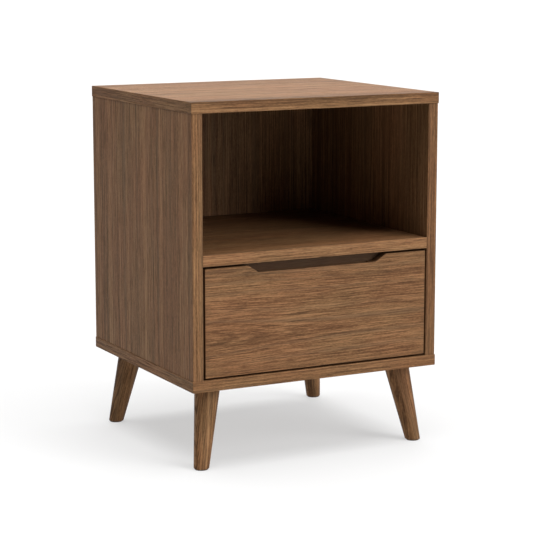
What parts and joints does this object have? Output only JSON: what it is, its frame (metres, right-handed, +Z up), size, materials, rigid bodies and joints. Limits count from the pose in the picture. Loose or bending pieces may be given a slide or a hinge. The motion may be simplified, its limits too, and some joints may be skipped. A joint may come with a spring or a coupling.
{
  "type": "nightstand",
  "caption": "Bedside cabinet on splayed tapered legs, with an open compartment above an inset drawer with a notched finger pull.",
  "frame": {"origin": "on the floor, under the middle of the cabinet", "axes": "+Z up, +Y towards the back, +X to the right of a person facing the drawer"},
  "size_m": [0.45, 0.4, 0.59],
  "materials": {
    "walnut": "satin lacquer",
    "drawer_box_wood": "matt stained",
    "dowel_wood": "raw",
    "felt": "felt",
    "screw_steel": "zinc plated",
    "slide_steel": "zinc plated",
    "ball_steel": "polished",
    "black_plastic": "matte"
  },
  "bodies": {
    "cabinet": {"top_panel": "walnut", "bottom_panel": "walnut", "left_side_panel": "walnut", "right_side_panel": "walnut", "shelf_panel": "walnut", "back_panel": "walnut", "carcass_dowels": "dowel_wood", "back_panel_screws": "screw_steel", "leg_front_left": "walnut", "leg_front_right": "walnut", "leg_back_left": "walnut", "leg_back_right": "walnut", "foot_pad_front_left": "felt", "foot_pad_front_right": "felt", "foot_pad_back_left": "felt", "foot_pad_back_right": "felt", "leg_hanger_bolts": "screw_steel", "leg_threaded_inserts": "screw_steel", "cabinet_slide_screws": "screw_steel", "left_slide_cabinet_member": "slide_steel", "right_slide_cabinet_member": "slide_steel"},
    "drawer": {"drawer_front": "walnut", "drawer_inner_front": "drawer_box_wood", "drawer_left_side": "drawer_box_wood", "drawer_right_side": "drawer_box_wood", "drawer_back": "drawer_box_wood", "drawer_bottom": "drawer_box_wood", "drawer_box_dowels": "dowel_wood", "drawer_front_screws": "screw_steel", "drawer_slide_screws": "screw_steel", "left_slide_drawer_member": "slide_steel", "right_slide_drawer_member": "slide_steel"},
    "left_middle_member": {"left_slide_middle_member": "slide_steel"},
    "left_outer_cage": {"left_slide_outer_cage": "slide_steel", "left_slide_outer_balls": "ball_steel"},
    "left_inner_cage": {"left_slide_inner_cage": "slide_steel", "left_slide_inner_balls": "ball_steel"},
    "left_release_lever": {"left_slide_release_lever": "black_plastic"},
    "right_middle_member": {"right_slide_middle_member": "slide_steel"},
    "right_outer_cage": {"right_slide_outer_cage": "slide_steel", "right_slide_outer_balls": "ball_steel"},
    "right_inner_cage": {"right_slide_inner_cage": "slide_steel", "right_slide_inner_balls": "ball_steel"},
    "right_release_lever": {"right_slide_release_lever": "black_plastic"}
  },
  "joints": [
    {"name": "drawer_slide", "type": "slide", "parent": "cabinet", "child": "drawer", "axis": [0, -1, 0], "range_m": [0, 0.35]},
    {"name": "left_outer_cage_slide", "type": "slide", "parent": "cabinet", "child": "left_outer_cage", "axis": [0, -1, 0], "range_m": [0, 0.0875]},
    {"name": "left_middle_member_slide", "type": "slide", "parent": "cabinet", "child": "left_middle_member", "axis": [0, -1, 0], "range_m": [0, 0.175]},
    {"name": "left_inner_cage_slide", "type": "slide", "parent": "cabinet", "child": "left_inner_cage", "axis": [0, -1, 0], "range_m": [0, 0.2625]},
    {"name": "left_lever_pivot", "type": "hinge", "parent": "drawer", "child": "left_release_lever", "pos_m": [-0.19655, -0.024, 0.237], "axis": [1, 0, 0], "range_deg": [0, 10], "stiffness_Nm_per_rad": 0.05, "springref_deg": -2.86},
    {"name": "right_outer_cage_slide", "type": "slide", "parent": "cabinet", "child": "right_outer_cage", "axis": [0, -1, 0], "range_m": [0, 0.0875]},
    {"name": "right_middle_member_slide", "type": "slide", "parent": "cabinet", "child": "right_middle_member", "axis": [0, -1, 0], "range_m": [0, 0.175]},
    {"name": "right_inner_cage_slide", "type": "slide", "parent": "cabinet", "child": "right_inner_cage", "axis": [0, -1, 0], "range_m": [0, 0.2625]},
    {"name": "right_lever_pivot", "type": "hinge", "parent": "drawer", "child": "right_release_lever", "pos_m": [0.19655, -0.024, 0.237], "axis": [1, 0, 0], "range_deg": [0, 10], "stiffness_Nm_per_rad": 0.05, "springref_deg": -2.86}
  ],
  "couplings": [
    {"joint": "left_outer_cage_slide", "follows": "drawer_slide", "ratio": 0.25},
    {"joint": "left_middle_member_slide", "follows": "drawer_slide", "ratio": 0.5},
    {"joint": "left_inner_cage_slide", "follows": "drawer_slide", "ratio": 0.75},
    {"joint": "right_outer_cage_slide", "follows": "drawer_slide", "ratio": 0.25},
    {"joint": "right_middle_member_slide", "follows": "drawer_slide", "ratio": 0.5},
    {"joint": "right_inner_cage_slide", "follows": "drawer_slide", "ratio": 0.75}
  ]
}
